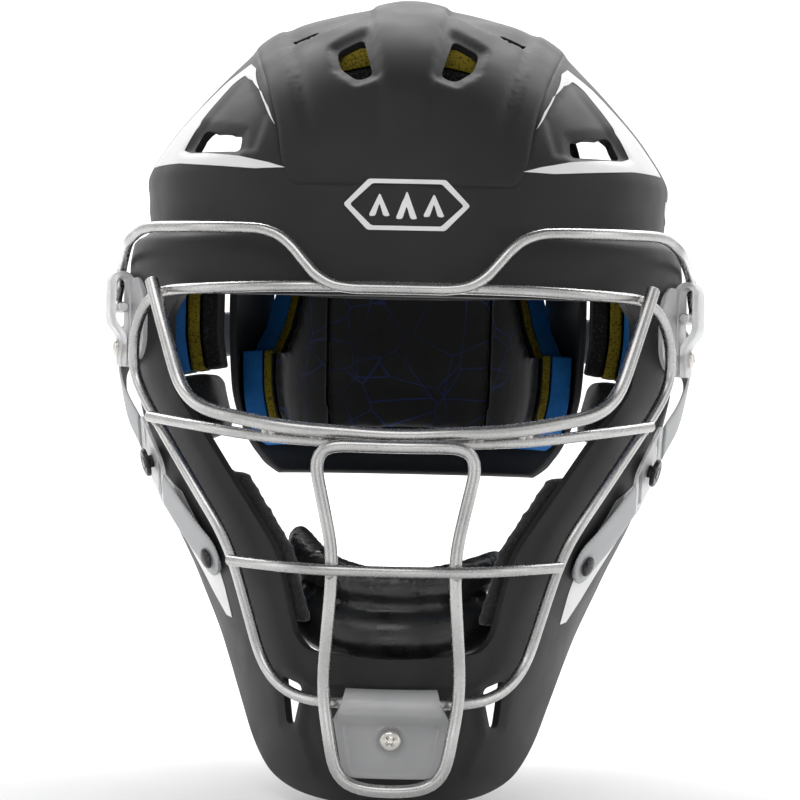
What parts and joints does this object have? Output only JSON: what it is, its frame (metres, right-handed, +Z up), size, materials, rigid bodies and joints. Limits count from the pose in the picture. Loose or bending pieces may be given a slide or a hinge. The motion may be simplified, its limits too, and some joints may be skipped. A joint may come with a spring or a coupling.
{
  "type": "catchers mask",
  "caption": "Hockey-style catcher's mask: hard shell with wire face cage, clips, layered foam pads, chin pad and a strapped, hinged back plate.",
  "frame": {"origin": "middle of the head space, level with the eyes, between the temple pads", "axes": "+Z up towards the crown, -Y out of the face opening, +X to the wearer's left"},
  "size_m": [0.2486, 0.2934, 0.3262],
  "materials": {
    "matte_shell": "matte black paint on moulded plastic",
    "bright_steel": "satin nickel-plated wire",
    "frosted_plastic": "frosted translucent",
    "screw_steel": "bright zinc",
    "dark_steel": "blackened",
    "blue_foam": "closed-cell foam",
    "yellow_foam": "open-cell speckled foam",
    "black_foam": "soft lined foam",
    "black_leather": "semi-gloss synthetic leather",
    "liner_fabric": "knitted, printed with thin blue lines",
    "grey_elastic": "woven elastic"
  },
  "bodies": {
    "root": {"brow_black_foam": "black_foam", "brow_blue_foam": "blue_foam", "brow_yellow_foam": "yellow_foam", "cage_centre_loop": "bright_steel", "cage_eye_frame": "bright_steel", "cage_mouth_bar": "bright_steel", "cage_nose_bar": "bright_steel", "cage_outer_frame": "bright_steel", "cage_top_wire": "bright_steel", "chin_clip": "frosted_plastic", "chin_nut": "dark_steel", "chin_pad": "black_leather", "chin_screw": "screw_steel", "crown_black_foam": "black_foam", "crown_blue_foam": "blue_foam", "crown_strap": "grey_elastic", "front_shell": "matte_shell", "left_clip_nut": "dark_steel", "left_clip_screw": "screw_steel", "left_crown_rivet": "dark_steel", "left_ear_pad": "black_foam", "left_jaw_pad": "black_foam", "left_jaw_rivet": "dark_steel", "left_jaw_strap": "grey_elastic", "left_rear_strap": "grey_elastic", "left_side_clip": "frosted_plastic", "left_strap_stud": "dark_steel", "left_stud_nut": "dark_steel", "left_temple_black_foam": "black_foam", "left_temple_blue_foam": "blue_foam", "left_temple_yellow_foam": "yellow_foam", "right_clip_nut": "dark_steel", "right_clip_screw": "screw_steel", "right_crown_rivet": "dark_steel", "right_ear_pad": "black_foam", "right_jaw_pad": "black_foam", "right_jaw_rivet": "dark_steel", "right_jaw_strap": "grey_elastic", "right_rear_strap": "grey_elastic", "right_side_clip": "frosted_plastic", "right_strap_stud": "dark_steel", "right_stud_nut": "dark_steel", "right_temple_black_foam": "black_foam", "right_temple_blue_foam": "blue_foam", "right_temple_yellow_foam": "yellow_foam"},
    "back_plate": {"back_shell": "matte_shell", "back_blue_foam": "blue_foam", "back_yellow_foam": "yellow_foam", "left_liner": "liner_fabric", "centre_liner": "liner_fabric", "right_liner": "liner_fabric", "left_rear_rivet": "dark_steel", "right_rear_rivet": "dark_steel", "left_crest_rivet": "dark_steel", "right_crest_rivet": "dark_steel"},
    "left_hook": {"left_strap_hook": "dark_steel"},
    "right_hook": {"right_strap_hook": "dark_steel"}
  },
  "joints": [
    {"name": "back_plate_swing", "type": "hinge", "parent": "root", "child": "back_plate", "pos_m": [0, 0.048, 0.14], "axis": [1, 0, 0], "range_deg": [0, 15], "stiffness_Nm_per_rad": 1.2, "deforming": ["left_rear_strap", "right_rear_strap", "crown_strap"]},
    {"name": "left_hook_swivel", "type": "hinge", "parent": "root", "child": "left_hook", "pos_m": [0.09773, -0.06, -0.046], "axis": [0.9254, -0.2528, -0.2825], "range_deg": [-6, 6], "deforming": ["left_jaw_strap"]},
    {"name": "right_hook_swivel", "type": "hinge", "parent": "root", "child": "right_hook", "pos_m": [-0.09773, -0.06, -0.046], "axis": [-0.9254, -0.2528, -0.2825], "range_deg": [-6, 6], "deforming": ["right_jaw_strap"]}
  ]
}
